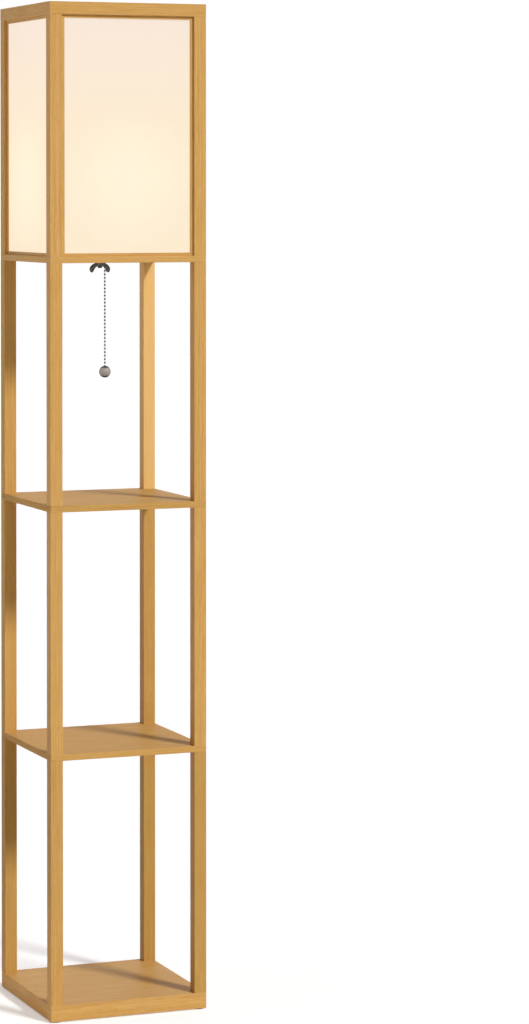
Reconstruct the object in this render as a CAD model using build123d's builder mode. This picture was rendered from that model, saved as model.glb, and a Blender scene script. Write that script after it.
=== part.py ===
from build123d import *
from math import sqrt
import os

# Shelf floor lamp: a square wooden tower of four open-sided tiers.  Three tiers are shelves and
# the top one is a lit linen shade.  Origin: middle of the tower on the floor.  +Z up, -Y front.
# Millimetres.

# --- tower ------------------------------------------------------------------------------------
tower_width = 260            # left to right, over the posts
tower_depth = 260            # front to back, over the posts
post_side = 20               # square section of every post
base_thickness = 25
shelf_thickness = 10
shade_floor_thickness = 10
base_tier_height = 385       # clear height between the base and the lower shelf
middle_tier_height = 380     # clear height between the shelves
upper_tier_height = 380      # clear height between the upper shelf and the shade's floor
shade_tier_height = 379      # clear height of the shade's windows
rail_height = 20             # top rails
rail_width = 20
eased_edge = 0.4             # small chamfer on every long wooden edge
glue_gap = 0.05              # between glued pieces that are still separate pieces

# --- levels, from the floor up ----------------------------------------------------------------
pad_thickness = 1.5
base_top = pad_thickness + base_thickness
lower_shelf_bottom = base_top + base_tier_height
lower_shelf_top = lower_shelf_bottom + shelf_thickness
upper_shelf_bottom = lower_shelf_top + middle_tier_height
upper_shelf_top = upper_shelf_bottom + shelf_thickness
shade_floor_bottom = upper_shelf_top + upper_tier_height
shade_floor_top = shade_floor_bottom + shade_floor_thickness
rail_bottom = shade_floor_top + shade_tier_height

# --- shade ------------------------------------------------------------------------------------
floor_rim_width = 30         # solid rim of the shade's floor round its opening
floor_corner_radius = 4      # inside corners of that opening
batten_face = 5.2            # width of a batten as seen in the window
batten_depth = 1.9
batten_recess = 4.3          # the battens stand back from the outer faces
panel_thickness = 1.2        # linen laminated on a stiff clear sheet
panel_gap = 0.3              # all round a panel
crossbar_width = 30

# --- fasteners of the tower -------------------------------------------------------------------
stud_radius = 3              # M6
stud_hole_radius = 3.3       # through the boards, and beyond the inserts in the posts
stud_bite = 12               # a stud's length inside each post
stud_hole_depth = 18
stud_lead = 0.5              # chamfer at each end of a stud
insert_radius = 4.5
insert_length = 13
thread_gap = 0.05            # drawn between a thread and what it screws into
screw_head_radius = 5
screw_head_height = 6
screw_key_radius = 2.9       # across the corners of the hexagon socket
screw_key_depth = 3
counterbore_radius = 5.6
counterbore_depth = 8
pad_radius = 9
dowel_radius = 2.5
dowel_bite = 12              # a dowel's length inside each of its two pieces
dowel_gap = 0.05
crossbar_dowel_pitch = 16

# --- lampholder, standing on the crossbar -----------------------------------------------------
holder_y = 11                # the lampholder stands a little behind the middle
holder_radius = 19
holder_wall = 2.5
holder_cap_height = 16
holder_cap_floor = 2
holder_shell_height = 42
holder_lip_radius = 0.8      # rounding of the shell's upper rim
block_ledge = 1              # step that holds the switch block's flange
block_flange = 2
block_height = 16
block_gap = 0.3
cavity_floor = 2.5           # of the switch block's rotor cavity
bolt_radius = 4              # M8
bolt_length = 23.3
bolt_hole_radius = 4.3
bolt_lead = 0.8              # chamfer at the bolt's end
bolt_head_radius = 7.5       # across the corners
bolt_head_height = 5.3
washer_radius = 8
washer_thickness = 1.6
nut_gap = 0.05               # running clearance of the wing nut on the bolt
nut_seat_radius = 8
nut_crown_radius = 6.2
nut_height = 7.4
wing_span = 36.4
wing_height = 16.8           # from the seat to the tips
wing_thickness = 3
inlet_radius = 3.5           # bore of the grommet for the lead
grommet_neck_radius = 5
grommet_flange_radius = 6.5
grommet_flange = 1.5
grommet_gap = 0.1
terminal_pitch = 18
terminal_y = 7               # behind the lampholder's axis
terminal_radius = 1.5
terminal_head_radius = 3
terminal_head_height = 2
terminal_slot_width = 0.8
terminal_slot_depth = 1
terminal_bite = 6

# --- screw shell, centre contact and bulb -----------------------------------------------------
thread_pitch = 3.62          # E27
screw_shell_radius = 13.4    # smallest inside radius
screw_shell_wall = 0.5
screw_shell_turns = 6
thread_depth = 0.6
contact_radius = 4
contact_crown_radius = 2.4
contact_thickness = 0.6
contact_height = 2.6
contact_gap = 0.3            # between the two centre contacts
bulb_length = 110
bulb_radius = 30
bulb_tip_radius = 4.5
bulb_tip_flat_radius = 3.2   # where the tip touches the centre contact
bulb_pin_radius = 1.5         # of the tip, inside the housing
bulb_tip_thickness = 1.5
bulb_cap_radius = 13.0       # over the thread
bulb_cap_wall = 0.4
bulb_cap_bottom = 5.2        # above the tip
bulb_cap_top = 26.2
bulb_stub_radius = 11.8
bulb_neck_radius = 13.6
flare_swell = 1              # how far the housing's flare leans out at first
bulb_rim_level = 66.5        # where the globe meets the housing, above the tip
bulb_rim_radius = 27.5
bulb_wall = 1.5
globe_wall = 1.2
led_plate_thickness = 1.6
led_ledge = 2

# --- pull switch and bead chain ---------------------------------------------------------------
pull_travel = 8
tongue_thickness = 2.5
tongue_width = 3
slot_gap = 0.4               # round the tongue
rotor_offset = 8             # rotor axis in front of the lampholder's axis
rotor_width = 8
rotor_gap = 0.65
rotor_teeth = 8
tooth_depth = 0.8
axle_radius = 1.5
axle_gap = 0.05
axle_bite = 2.5
guide_radius = 4.5
guide_bore_radius = 3.2
guide_floor = 2
guide_roof = 1.3
guide_gap = 1                # between the guide tube and the lampholder
lug_wall = 2                 # of the lug that joins them, each side of the slot
mouth_lip = 0.6
mouth_height = 1.5
head_radius = 2.9
head_gap = 0.8
rod_radius = 1.5
rod_gap = 0.1
spring_solid = 3.5           # height left for the spring when the chain is pulled
spring_radius = 2.3          # to the middle of the wire
spring_wire_radius = 0.25
spring_turns = 6
spring_gap = 0.3
rod_drop = 4.6               # from the guide's mouth to the first bead
bead_radius = 1.6
bead_pitch = 5.68
bead_count = 35
link_radius = 0.35
connector_radius = 2.5
connector_bore_radius = 1.95
connector_hole_radius = 1.3
connector_end = 0.5
bead_gap = 0.3
ball_radius = 9.5
ball_drop = 2.6              # ball's middle above the last bead
ball_bore_radius = 1.8
ball_neck_radius = 0.8
ball_neck = 1.0

# --- places worked out from the sizes ---------------------------------------------------------
half_width = tower_width / 2
half_depth = tower_depth / 2
post_x = half_width - post_side / 2
post_y = half_depth - post_side / 2
opening_width = tower_width - 2 * floor_rim_width
opening_depth = tower_depth - 2 * floor_rim_width
window_middle = shade_floor_top + shade_tier_height / 2
mitre_length = 2 * batten_face  # a little more than a mitre's diagonal
corners = {
    "front_left": (-post_x, -post_y),
    "front_right": (post_x, -post_y),
    "back_left": (-post_x, post_y),
    "back_right": (post_x, post_y),
}

cap_top = shade_floor_top + holder_cap_height
block_top = cap_top + block_height
holder_inner_radius = holder_radius - holder_wall
block_radius = holder_inner_radius - block_gap
ledge_radius = holder_inner_radius + block_ledge
cavity_bottom = cap_top + cavity_floor
cavity_top = cavity_bottom + pull_travel + tongue_thickness + 2 * slot_gap
cavity_half_width = rotor_width / 2 + block_gap
tongue_top = cavity_top - slot_gap
tongue_bottom = tongue_top - tongue_thickness
rotor_y = holder_y - rotor_offset
rotor_z = (cavity_bottom + cavity_top) / 2
rotor_radius = (cavity_top - cavity_bottom) / 2 - rotor_gap
chain_y = holder_y - holder_radius - guide_gap - guide_radius
guide_inner_floor = tongue_bottom - pull_travel - spring_solid
guide_bottom = guide_inner_floor - guide_floor
guide_inner_top = tongue_top + head_gap
first_bead = guide_bottom - rod_drop
chain_top = first_bead - bead_pitch
last_bead = chain_top - (bead_count - 1) * bead_pitch
ball_middle = last_bead + ball_drop
bulb_tip = block_top + contact_height + contact_gap
nut_seat = shade_floor_bottom - washer_thickness

os.makedirs("parts", exist_ok=True)


def keep(piece, label):
    """Label a finished piece and write its file."""
    piece.part.label = label
    export_step(piece.part, f"parts/{label}.step")


def front_slot(width, bottom, top):
    """A slot's outline, seen from the front, between two heights."""
    with Locations((0, (bottom + top) / 2)):
        return Rectangle(width, top - bottom)


# --- base and shelves -------------------------------------------------------------------------
def full_board(bottom, thickness):
    """A board as large as the tower, with a hole for the stud in each corner."""
    with BuildPart() as board:
        with BuildSketch(Plane.XY.offset(bottom)):
            Rectangle(tower_width, tower_depth)
        extrude(amount=thickness)
        chamfer(board.edges(), length=eased_edge)
        with BuildSketch(Plane.XY.offset(bottom)):
            with Locations(*corners.values()):
                Circle(stud_hole_radius)
        extrude(amount=thickness, mode=Mode.SUBTRACT)
    return board


with BuildPart() as base_board:
    add(full_board(pad_thickness, base_thickness).part)
    with BuildSketch(Plane.XY.offset(pad_thickness)):
        with Locations(*corners.values()):
            Circle(counterbore_radius)
    extrude(amount=counterbore_depth, mode=Mode.SUBTRACT)
keep(base_board, "base_board")

lower_shelf = full_board(lower_shelf_bottom, shelf_thickness)
keep(lower_shelf, "lower_shelf")

upper_shelf = full_board(upper_shelf_bottom, shelf_thickness)
keep(upper_shelf, "upper_shelf")

with BuildPart() as shade_floor:
    add(full_board(shade_floor_bottom, shade_floor_thickness).part)
    with BuildSketch(Plane.XY.offset(shade_floor_bottom)):
        RectangleRounded(opening_width, opening_depth, floor_corner_radius)
    extrude(amount=shade_floor_thickness, mode=Mode.SUBTRACT)
    with BuildSketch(Plane.YZ.offset(-opening_width / 2 - dowel_bite - dowel_gap)):
        with Locations((holder_y, shade_floor_bottom + shade_floor_thickness / 2)):
            with GridLocations(crossbar_dowel_pitch, 0, 2, 1):
                Circle(dowel_radius + dowel_gap)
    extrude(amount=opening_width + 2 * (dowel_bite + dowel_gap), mode=Mode.SUBTRACT)
keep(shade_floor, "shade_floor")

with BuildPart() as crossbar:
    with BuildSketch(Plane.XY.offset(shade_floor_bottom)):
        with Locations((0, holder_y)):
            Rectangle(opening_width, crossbar_width)
    extrude(amount=shade_floor_thickness)
    chamfer(crossbar.edges().filter_by(Axis.X), length=eased_edge)
    with BuildSketch(Plane.XY.offset(shade_floor_bottom)):
        with Locations((0, holder_y)):
            Circle(bolt_hole_radius)
    extrude(amount=shade_floor_thickness, mode=Mode.SUBTRACT)
    for side in (-1, 1):
        with BuildSketch(Plane.YZ.offset(side * opening_width / 2)):
            with Locations((holder_y, shade_floor_bottom + shade_floor_thickness / 2)):
                with GridLocations(crossbar_dowel_pitch, 0, 2, 1):
                    Circle(dowel_radius + dowel_gap)
        extrude(amount=-side * (dowel_bite + dowel_gap), mode=Mode.SUBTRACT)
keep(crossbar, "lampholder_crossbar")


# --- posts ------------------------------------------------------------------------------------
def post_section(place, bottom, height, top_radius, top_depth, top_plain_depth):
    """One post between two boards: an insert's hole below, the given hole above."""
    with BuildPart() as post:
        with BuildSketch(Plane.XY.offset(bottom)):
            with Locations(place):
                Rectangle(post_side, post_side)
        extrude(amount=height)
        chamfer(post.edges().filter_by(Axis.Z), length=eased_edge)
        holes = (
            (bottom, 1, insert_radius + thread_gap, insert_length),
            (bottom, 1, stud_hole_radius, stud_hole_depth),
            (bottom + height, -1, top_radius, top_depth),
            (bottom + height, -1, stud_hole_radius, top_plain_depth),
        )
        for level, way, radius, depth in holes:
            with BuildSketch(Plane.XY.offset(level)):
                with Locations(place):
                    Circle(radius)
            extrude(amount=way * depth, mode=Mode.SUBTRACT)
    return post


shelf_tiers = {
    "lower": (base_top, base_tier_height),
    "middle": (lower_shelf_top, middle_tier_height),
    "upper": (upper_shelf_top, upper_tier_height),
}
for tier, (bottom, height) in shelf_tiers.items():
    for corner, place in corners.items():
        post = post_section(
            place, bottom, height, insert_radius + thread_gap, insert_length, stud_hole_depth
        )
        keep(post, f"{tier}_post_{corner}")
for corner, place in corners.items():
    post = post_section(
        place, shade_floor_top, shade_tier_height, stud_hole_radius, dowel_bite, dowel_bite
    )
    keep(post, f"shade_post_{corner}")


# --- top rails, mitred at the corners ---------------------------------------------------------
def top_rail(length, reach, turn):
    """A rail along one side of the top, its outer face `reach` from the middle."""
    with BuildPart() as rail:
        with BuildSketch(Plane.XY.offset(rail_bottom)):
            with BuildLine(Rot(0, 0, turn)):
                Polyline(
                    (-length / 2 + glue_gap, -reach),
                    (length / 2 - glue_gap, -reach),
                    (length / 2 - rail_width - glue_gap, -reach + rail_width),
                    (-length / 2 + rail_width + glue_gap, -reach + rail_width),
                    close=True,
                )
            make_face()
        extrude(amount=rail_height)
        along = Axis.X if turn % 180 == 0 else Axis.Y
        chamfer(rail.edges().filter_by(along), length=eased_edge)
        with BuildSketch(Plane.XY.offset(rail_bottom)):
            with Locations(*corners.values()):
                Circle(dowel_radius + dowel_gap)
        extrude(amount=dowel_bite + dowel_gap, mode=Mode.SUBTRACT)
    return rail


sides = {
    "front": (tower_width, half_depth, 0),
    "right": (tower_depth, half_width, 90),
    "back": (tower_width, half_depth, 180),
    "left": (tower_depth, half_width, 270),
}
for side, (length, reach, turn) in sides.items():
    keep(top_rail(length, reach, turn), f"top_rail_{side}")


# --- shade windows: a mitred batten frame with a linen panel glued behind it ------------------
def window_plane(reach, turn):
    """A plane standing in a window, its X along the window and its Z outwards."""
    return Plane.XY.rotated((0, 0, turn)) * Plane(
        origin=(0, -reach, window_middle), x_dir=(1, 0, 0), z_dir=(0, -1, 0)
    )


def batten_frame(width, reach, turn):
    """Four strips round a window, apart by a glue line at each mitre."""
    with BuildPart() as frame:
        with BuildSketch(window_plane(reach - batten_recess, turn)):
            Rectangle(width, shade_tier_height)
            Rectangle(
                width - 2 * batten_face, shade_tier_height - 2 * batten_face, mode=Mode.SUBTRACT
            )
            for across in (-1, 1):
                for up in (-1, 1):
                    corner = (
                        across * (width - batten_face) / 2,
                        up * (shade_tier_height - batten_face) / 2,
                    )
                    with Locations(Location((*corner, 0), (0, 0, across * up * 45))):
                        Rectangle(mitre_length, glue_gap, mode=Mode.SUBTRACT)
        extrude(amount=-batten_depth)
    return frame


def linen_panel(width, reach, turn):
    with BuildPart() as panel:
        with BuildSketch(window_plane(reach - batten_recess - batten_depth, turn)):
            Rectangle(width - 2 * panel_gap, shade_tier_height - 2 * panel_gap)
        extrude(amount=-panel_thickness)
    return panel


for side, (length, reach, turn) in sides.items():
    width = length - 2 * post_side
    keep(batten_frame(width, reach, turn), f"batten_frame_{side}")
    keep(linen_panel(width, reach, turn), f"linen_panel_{side}")

# --- studs, inserts, screws, dowels and pads --------------------------------------------------
boards_between_posts = {
    lower_shelf_bottom: shelf_thickness,
    upper_shelf_bottom: shelf_thickness,
    shade_floor_bottom: shade_floor_thickness,
}
with BuildPart() as post_studs:
    for level, thickness in boards_between_posts.items():
        with BuildSketch(Plane.XY.offset(level - stud_bite)):
            with Locations(*corners.values()):
                Circle(stud_radius)
        extrude(amount=thickness + 2 * stud_bite)
    chamfer(post_studs.edges().filter_by(GeomType.CIRCLE), length=stud_lead)
keep(post_studs, "post_studs")

insert_levels = [(base_top, 1)]
for level, thickness in boards_between_posts.items():
    insert_levels += [(level, -1), (level + thickness, 1)]
with BuildPart() as threaded_inserts:
    for level, way in insert_levels:
        with BuildSketch(Plane.XY.offset(level)):
            with Locations(*corners.values()):
                Circle(insert_radius)
                Circle(stud_radius + thread_gap, mode=Mode.SUBTRACT)
        extrude(amount=way * insert_length)
keep(threaded_inserts, "threaded_inserts")

counterbore_top = pad_thickness + counterbore_depth
with BuildPart() as base_screws:
    with BuildSketch(Plane.XY.offset(counterbore_top)):
        with Locations(*corners.values()):
            Circle(screw_head_radius)
    extrude(amount=-screw_head_height)
    with BuildSketch(Plane.XY.offset(counterbore_top)):
        with Locations(*corners.values()):
            Circle(stud_radius)
    extrude(amount=base_top - counterbore_top + stud_bite)
    with BuildSketch(Plane.XY.offset(counterbore_top - screw_head_height)):
        with Locations(*corners.values()):
            RegularPolygon(screw_key_radius, 6)
    extrude(amount=screw_key_depth, mode=Mode.SUBTRACT)
keep(base_screws, "base_screws")

with BuildPart() as foot_pads:
    with BuildSketch(Plane.XY):
        with Locations(*corners.values()):
            Circle(pad_radius)
    extrude(amount=pad_thickness)
keep(foot_pads, "foot_pads")

with BuildPart() as shade_dowels:
    with BuildSketch(Plane.XY.offset(rail_bottom - dowel_bite)):
        with Locations(*corners.values()):
            Circle(dowel_radius)
    extrude(amount=2 * dowel_bite)
    for side in (-1, 1):
        with BuildSketch(Plane.YZ.offset(side * opening_width / 2)):
            with Locations((holder_y, shade_floor_bottom + shade_floor_thickness / 2)):
                with GridLocations(crossbar_dowel_pitch, 0, 2, 1):
                    Circle(dowel_radius)
        extrude(amount=dowel_bite, both=True)
keep(shade_dowels, "shade_dowels")

# --- lampholder -------------------------------------------------------------------------------
inlet_level = (shade_floor_top + holder_cap_floor + cap_top) / 2
with BuildPart() as lampholder_cap:
    with BuildSketch(Plane.XY.offset(shade_floor_top)):
        with Locations((0, holder_y)):
            Circle(holder_radius)
    extrude(amount=holder_cap_height)
    with BuildSketch(Plane.XY.offset(shade_floor_top + holder_cap_floor)):
        with Locations((0, holder_y)):
            Circle(holder_inner_radius)
    extrude(amount=holder_cap_height, mode=Mode.SUBTRACT)
    with BuildSketch(Plane.XY.offset(shade_floor_top)):
        with Locations((0, holder_y)):
            Circle(bolt_hole_radius)
    extrude(amount=holder_cap_floor, mode=Mode.SUBTRACT)
    with BuildSketch(Plane.XZ.offset(-holder_y)):
        with Locations((0, inlet_level)):
            Circle(grommet_neck_radius + grommet_gap)
    extrude(amount=-holder_radius, mode=Mode.SUBTRACT)
keep(lampholder_cap, "lampholder_cap")

grommet_inside = sqrt(holder_inner_radius**2 - grommet_flange_radius**2) - grommet_gap
grommet_outside = holder_radius + grommet_gap
with BuildPart() as cord_inlet_grommet:
    stations = (
        (grommet_inside - grommet_flange, grommet_flange, grommet_flange_radius),
        (grommet_inside, grommet_outside - grommet_inside, grommet_neck_radius),
        (grommet_outside, grommet_flange, grommet_flange_radius),
    )
    for start, length, radius in stations:
        with BuildSketch(Plane.XZ.offset(-holder_y - start)):
            with Locations((0, inlet_level)):
                Circle(radius)
                Circle(inlet_radius, mode=Mode.SUBTRACT)
        extrude(amount=-length)
keep(cord_inlet_grommet, "cord_inlet_grommet")

with BuildPart() as lampholder_bolt:
    with BuildSketch(Plane.XY.offset(shade_floor_top + holder_cap_floor)):
        with Locations((0, holder_y)):
            RegularPolygon(bolt_head_radius, 6)
    extrude(amount=bolt_head_height)
    with BuildSketch(Plane.XY.offset(shade_floor_top + holder_cap_floor)):
        with Locations((0, holder_y)):
            Circle(bolt_radius)
    extrude(amount=-bolt_length)
    chamfer(lampholder_bolt.edges().group_by(Axis.Z)[0], length=bolt_lead)
keep(lampholder_bolt, "lampholder_bolt")

with BuildPart() as bolt_washer:
    with BuildSketch(Plane.XY.offset(nut_seat)):
        with Locations((0, holder_y)):
            Circle(washer_radius)
            Circle(bolt_hole_radius, mode=Mode.SUBTRACT)
    extrude(amount=washer_thickness)
keep(bolt_washer, "bolt_washer")

# The ears of the wing nut, as shares of its span and height: they sweep out and down.
ear_root = 0.75 * nut_crown_radius
ear_out = wing_span / 2
ear_rim_radius = wing_thickness / 4
with BuildPart() as wing_nut:
    with BuildSketch(Plane.XY.offset(nut_seat)):
        with Locations((0, holder_y)):
            Circle(nut_seat_radius)
    with BuildSketch(Plane.XY.offset(nut_seat - nut_height)):
        with Locations((0, holder_y)):
            Circle(nut_crown_radius)
    loft()
    with BuildSketch(Plane.XZ.offset(-holder_y)):
        with BuildLine():
            shoulder = Line(
                (ear_root, nut_seat - 0.04 * wing_height),
                (0.55 * ear_out, nut_seat - 0.16 * wing_height),
            )
            back = ThreePointArc(
                shoulder @ 1,
                (0.87 * ear_out, nut_seat - 0.39 * wing_height),
                (ear_out, nut_seat - 0.66 * wing_height),
            )
            tip = ThreePointArc(
                back @ 1,
                (0.93 * ear_out, nut_seat - 0.91 * wing_height),
                (0.74 * ear_out, nut_seat - wing_height),
            )
            inner = ThreePointArc(
                tip @ 1,
                (0.54 * ear_out, nut_seat - 0.73 * wing_height),
                (0.35 * ear_out, nut_seat - 0.44 * wing_height),
            )
            Polyline(inner @ 1, (ear_root, nut_seat - 0.4 * wing_height), shoulder @ 0)
        make_face()
        mirror(about=Plane.YZ)
    extrude(amount=wing_thickness / 2, both=True)
    ear_rims = wing_nut.edges().filter_by(GeomType.CIRCLE).filter_by(
        lambda edge: abs(edge.center().X) > nut_seat_radius
    )
    fillet(ear_rims, radius=ear_rim_radius)
    with BuildSketch(Plane.XY.offset(nut_seat)):
        with Locations((0, holder_y)):
            Circle(bolt_radius + nut_gap)
    extrude(amount=-nut_height, mode=Mode.SUBTRACT)
keep(wing_nut, "wing_nut")

with BuildPart() as lampholder_shell:
    with BuildSketch(Plane.XY.offset(cap_top)):
        with Locations((0, holder_y)):
            Circle(holder_radius)
    extrude(amount=holder_shell_height)
    fillet(lampholder_shell.edges().group_by(Axis.Z)[-1], radius=holder_lip_radius)
    with BuildSketch(Plane.XY.offset(cap_top)):
        with Locations((0, holder_y)):
            Circle(holder_inner_radius)
    extrude(amount=holder_shell_height, mode=Mode.SUBTRACT)
    with BuildSketch(Plane.XY.offset(cap_top)):
        with Locations((0, holder_y)):
            Circle(ledge_radius)
    extrude(amount=block_flange, mode=Mode.SUBTRACT)
    with BuildSketch(Plane.XZ.offset(-holder_y)):
        front_slot(tongue_width + 2 * slot_gap, cavity_bottom, cavity_top)
    extrude(amount=holder_radius, mode=Mode.SUBTRACT)
keep(lampholder_shell, "lampholder_shell")

with BuildPart() as switch_block:
    with BuildSketch(Plane.XY.offset(cap_top)):
        with Locations((0, holder_y)):
            Circle(ledge_radius - block_gap)
    extrude(amount=block_flange)
    with BuildSketch(Plane.XY.offset(cap_top)):
        with Locations((0, holder_y)):
            Circle(block_radius)
    extrude(amount=block_height)
    with BuildSketch(Plane.XZ.offset(-rotor_y - rotor_radius - rotor_gap)):
        front_slot(2 * cavity_half_width, cavity_bottom, cavity_top)
    extrude(amount=holder_radius + rotor_offset, mode=Mode.SUBTRACT)
    with BuildSketch(Plane.YZ):
        with Locations((rotor_y, rotor_z)):
            Circle(axle_radius + axle_gap)
    extrude(amount=cavity_half_width + axle_bite + slot_gap, both=True, mode=Mode.SUBTRACT)
    with BuildSketch(Plane.XY.offset(cap_top)):
        with Locations((0, holder_y + terminal_y)):
            with GridLocations(terminal_pitch, 0, 2, 1):
                Circle(terminal_radius + thread_gap)
    extrude(amount=terminal_bite + slot_gap, mode=Mode.SUBTRACT)
keep(switch_block, "switch_block")

with BuildPart() as terminal_screws:
    with BuildSketch(Plane.XY.offset(cap_top)):
        with Locations((0, holder_y + terminal_y)):
            with GridLocations(terminal_pitch, 0, 2, 1):
                Circle(terminal_radius)
    extrude(amount=terminal_bite)
    with BuildSketch(Plane.XY.offset(cap_top)):
        with Locations((0, holder_y + terminal_y)):
            with GridLocations(terminal_pitch, 0, 2, 1):
                Circle(terminal_head_radius)
    extrude(amount=-terminal_head_height)
    with BuildSketch(Plane.XY.offset(cap_top - terminal_head_height)):
        with Locations((0, holder_y + terminal_y)):
            with GridLocations(terminal_pitch, 0, 2, 1):
                Rectangle(2 * terminal_head_radius, terminal_slot_width)
    extrude(amount=terminal_slot_depth, mode=Mode.SUBTRACT)
keep(terminal_screws, "terminal_screws")


# --- screw shell and bulb ---------------------------------------------------------------------
def turned(points, level):
    """Turn a closed outline of (radius, height) points about the lampholder's axis."""
    with BuildPart() as piece:
        with BuildSketch(Plane.XZ.offset(-holder_y)):
            with BuildLine():
                Polyline(*[(radius, level + height) for radius, height in points], close=True)
            make_face()
        revolve(axis=Axis((0, holder_y, 0), (0, 0, 1)))
    return piece


def thread_outline(crest, root, start, turns):
    """The rings of a rolled thread, as (radius, height) points from the bottom up."""
    points = [(root, start)]
    for turn in range(turns):
        low = start + turn * thread_pitch
        points += [(crest, low + thread_pitch / 2), (root, low + thread_pitch)]
    return points


shell_outside = thread_outline(
    screw_shell_radius + screw_shell_wall + thread_depth,
    screw_shell_radius + screw_shell_wall,
    screw_shell_wall,
    screw_shell_turns,
)
shell_inside = [(radius - screw_shell_wall, height) for radius, height in shell_outside]
contact_hole = contact_radius + 2 * contact_gap
screw_shell = turned(
    [(contact_hole, 0), (screw_shell_radius + screw_shell_wall, 0)]
    + shell_outside
    + shell_inside[::-1]
    + [(contact_hole, screw_shell_wall)],
    block_top,
)
keep(screw_shell, "screw_shell")

centre_contact = turned(
    [
        (0, 0),
        (contact_radius, 0),
        (contact_radius, contact_thickness),
        (contact_crown_radius, contact_height),
        (0, contact_height),
    ],
    block_top,
)
keep(centre_contact, "centre_contact")

bulb_contact = turned(
    [
        (0, 0),
        (bulb_tip_flat_radius, 0),
        (bulb_tip_radius, bulb_tip_thickness / 2),
        (bulb_tip_radius, bulb_tip_thickness),
        (bulb_pin_radius, bulb_tip_thickness),
        (bulb_pin_radius, bulb_cap_bottom),
        (0, bulb_cap_bottom),
    ],
    bulb_tip,
)
keep(bulb_contact, "bulb_contact")

cap_turns = int((bulb_cap_top - bulb_cap_bottom) / thread_pitch)
cap_outside = thread_outline(
    bulb_cap_radius, bulb_cap_radius - thread_depth, bulb_cap_bottom, cap_turns
)
cap_outside.append((bulb_cap_radius - thread_depth, bulb_cap_top))
cap_inside = [(radius - bulb_cap_wall, height) for radius, height in cap_outside]
bulb_cap = turned(cap_outside + cap_inside[::-1], bulb_tip)
keep(bulb_cap, "bulb_cap")

led_level = bulb_rim_level - 2 * led_plate_thickness
led_recess_radius = bulb_rim_radius - 2 * bulb_wall
ledge_inner_radius = led_recess_radius - led_ledge
stub_inner_radius = bulb_stub_radius - bulb_wall
pin_hole_radius = bulb_pin_radius + thread_gap
housing_floor = bulb_cap_bottom + 2 * bulb_wall
flare_low = (bulb_cap_top + bulb_rim_level) / 2
flare_high = (bulb_cap_top + 2 * bulb_rim_level) / 3
with BuildPart() as bulb_housing:
    with BuildSketch(Plane.XZ.offset(-holder_y)):
        with BuildLine(Pos(0, bulb_tip)):
            bottom = Polyline(
                (pin_hole_radius, bulb_tip_thickness),
                (bulb_tip_radius, bulb_tip_thickness),
                (bulb_stub_radius, bulb_cap_bottom),
                (bulb_stub_radius, bulb_cap_top),
                (bulb_neck_radius, bulb_cap_top),
            )
            flare = Bezier(
                bottom @ 1,
                (bulb_neck_radius + flare_swell, flare_low),
                (bulb_rim_radius, flare_high),
                (bulb_rim_radius, bulb_rim_level),
            )
            rim = Polyline(
                flare @ 1,
                (led_recess_radius, bulb_rim_level),
                (led_recess_radius, led_level),
                (ledge_inner_radius, led_level),
                (ledge_inner_radius, led_level - led_ledge),
            )
            hollow = Bezier(
                rim @ 1,
                (ledge_inner_radius - bulb_wall, flare_high),
                (stub_inner_radius, flare_low),
                (stub_inner_radius, bulb_cap_top),
            )
            Polyline(
                hollow @ 1,
                (stub_inner_radius, housing_floor),
                (pin_hole_radius, housing_floor),
                bottom @ 0,
            )
        make_face()
    revolve(axis=Axis((0, holder_y, 0), (0, 0, 1)))
keep(bulb_housing, "bulb_housing")

with BuildPart() as bulb_led_plate:
    with BuildSketch(Plane.XY.offset(bulb_tip + led_level)):
        with Locations((0, holder_y)):
            Circle(led_recess_radius - contact_gap)
    extrude(amount=led_plate_thickness)
keep(bulb_led_plate, "bulb_led_plate")

globe_level = bulb_length - bulb_radius
globe_inner = bulb_radius - globe_wall
globe_drop = globe_level - bulb_rim_level
with BuildPart() as bulb_globe:
    with BuildSketch(Plane.XZ.offset(-holder_y)):
        with BuildLine(Pos(0, bulb_tip + globe_level)):
            outer = ThreePointArc(
                (sqrt(bulb_radius**2 - globe_drop**2), -globe_drop),
                (bulb_radius * sqrt(0.5), bulb_radius * sqrt(0.5)),
                (0, bulb_radius),
            )
            inner = ThreePointArc(
                (0, globe_inner),
                (globe_inner * sqrt(0.5), globe_inner * sqrt(0.5)),
                (sqrt(globe_inner**2 - globe_drop**2), -globe_drop),
            )
            Line(outer @ 1, inner @ 0)
            Line(inner @ 1, outer @ 0)
        make_face()
    revolve(axis=Axis((0, holder_y, 0), (0, 0, 1)))
keep(bulb_globe, "bulb_globe")

# --- pull switch ------------------------------------------------------------------------------
with BuildPart() as switch_rotor:
    with BuildSketch(Plane.YZ):
        with Locations((rotor_y, rotor_z)):
            Circle(rotor_radius)
            with PolarLocations(rotor_radius, rotor_teeth):
                Rectangle(2 * tooth_depth, tooth_depth, mode=Mode.SUBTRACT)
    extrude(amount=rotor_width / 2, both=True)
    with BuildSketch(Plane.YZ):
        with Locations((rotor_y, rotor_z)):
            Circle(axle_radius)
    extrude(amount=cavity_half_width + axle_bite, both=True)
keep(switch_rotor, "switch_rotor")

with BuildPart() as pull_plunger:
    with BuildSketch(Plane.XY.offset(tongue_bottom)):
        with Locations((0, chain_y)):
            Circle(head_radius)
        tongue_length = rotor_y - rotor_radius - block_gap - chain_y
        with Locations((0, chain_y + tongue_length / 2)):
            Rectangle(tongue_width, tongue_length)
    extrude(amount=tongue_thickness)
    with BuildSketch(Plane.XY.offset(tongue_bottom)):
        with Locations((0, chain_y)):
            Circle(rod_radius)
    extrude(amount=guide_bottom - tongue_bottom)
    with BuildSketch(Plane.XY.offset(guide_bottom)):
        with Locations((0, chain_y)):
            Circle(link_radius)
    extrude(amount=-rod_drop)
    with Locations((0, chain_y, first_bead)):
        Sphere(bead_radius)
keep(pull_plunger, "pull_plunger")

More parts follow.
